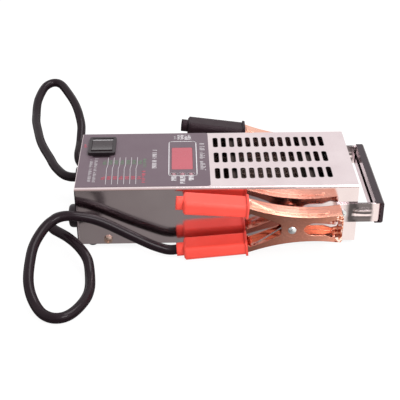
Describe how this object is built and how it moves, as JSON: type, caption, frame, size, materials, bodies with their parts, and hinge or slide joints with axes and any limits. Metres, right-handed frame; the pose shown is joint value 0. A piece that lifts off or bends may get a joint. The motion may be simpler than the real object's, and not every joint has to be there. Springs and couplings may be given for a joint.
{
  "type": "car battery tester",
  "caption": "Handheld load tester for car batteries: slotted steel housing with display, rocker switch and carrying handle, and two cables with sprung copper clamps.",
  "frame": {"origin": "at floor level under the middle of the housing with its glands and handle, without the cables and clamps", "axes": "+X from the cable end to the handle, +Y away from the red clamp, +Z out of the face with the display"},
  "size_m": [0.3405, 0.373, 0.0655],
  "materials": {
    "polished_steel": "polished stainless sheet",
    "black_paint": "satin black paint",
    "grey_film": "satin printed film",
    "red_window": "tinted clear plastic",
    "dark_plastic": "matt moulded plastic",
    "board": "coated circuit board",
    "brass_post": "plain brass",
    "lamp": "milky lamp body",
    "black_plastic": "satin moulded plastic",
    "black_gloss": "glossy moulded plastic",
    "resistance_alloy": "dull alloy strip",
    "plain_steel": "zinc-plated sheet",
    "ceramic": "unglazed ceramic",
    "copper": "bare copper",
    "copper_plate": "bright copper plating on steel",
    "zinc": "zinc plate",
    "cable_sheath": "satin flexible sheath",
    "grip_plastic": "satin moulded plastic",
    "foot_rubber": "matt rubber",
    "spring_wire": "bright spring wire",
    "red_sleeve": "soft dipped vinyl",
    "black_sleeve": "soft dipped vinyl"
  },
  "bodies": {
    "tester": {"cover": "polished_steel", "rear_tray": "black_paint", "front_label": "grey_film", "display_lens": "red_window", "display_module": "dark_plastic", "display_board": "board", "board_standoffs": "brass_post", "indicator_leds": "lamp", "switch_housing": "black_plastic", "switch_terminals": "brass_post", "load_strip": "resistance_alloy", "load_brackets": "plain_steel", "load_insulators": "ceramic", "load_relay": "dark_plastic", "busbar_positive": "copper", "busbar_negative": "copper", "busbar_posts": "dark_plastic", "terminal_bolts": "zinc", "lead_positive": "cable_sheath", "lead_negative": "cable_sheath", "gland_positive": "black_plastic", "gland_negative": "black_plastic", "gland_nuts": "black_plastic", "cable_positive": "cable_sheath", "cable_negative": "cable_sheath", "handle_strap": "polished_steel", "handle_grip": "grip_plastic", "handle_screws": "zinc", "handle_nuts": "zinc", "cover_screws": "zinc", "feet": "foot_rubber", "foot_screws": "zinc", "red_lower_lever": "copper_plate", "red_lower_sleeve": "red_sleeve", "red_cable_lug": "copper_plate", "red_rivet": "zinc", "red_spring_coil": "spring_wire", "black_lower_lever": "copper_plate", "black_lower_sleeve": "black_sleeve", "black_cable_lug": "copper_plate", "black_rivet": "zinc", "black_spring_coil": "spring_wire"},
    "rocker": {"switch_rocker": "black_gloss"},
    "red_clamp_upper": {"red_upper_lever": "copper_plate", "red_upper_sleeve": "red_sleeve", "red_spring_leg": "spring_wire"},
    "black_clamp_upper": {"black_upper_lever": "copper_plate", "black_upper_sleeve": "black_sleeve", "black_spring_leg": "spring_wire"}
  },
  "joints": [
    {"name": "rocker_press", "type": "hinge", "parent": "tester", "child": "rocker", "pos_m": [-0.11325, 0.024, 0.06], "axis": [1, 0, 0], "range_deg": [0, 12], "stiffness_Nm_per_rad": 0.06, "springref_deg": -17.19},
    {"name": "red_clamp_squeeze", "type": "hinge", "parent": "tester", "child": "red_clamp_upper", "pos_m": [0.0574, -0.0689, 0.0318], "axis": [0, -1, 0], "range_deg": [0, 16], "stiffness_Nm_per_rad": 4, "springref_deg": -28.65},
    {"name": "black_clamp_squeeze", "type": "hinge", "parent": "tester", "child": "black_clamp_upper", "pos_m": [0.0621, 0.0807, 0.0273], "axis": [0, -1, 0], "range_deg": [0, 16], "stiffness_Nm_per_rad": 4, "springref_deg": -28.65}
  ]
}
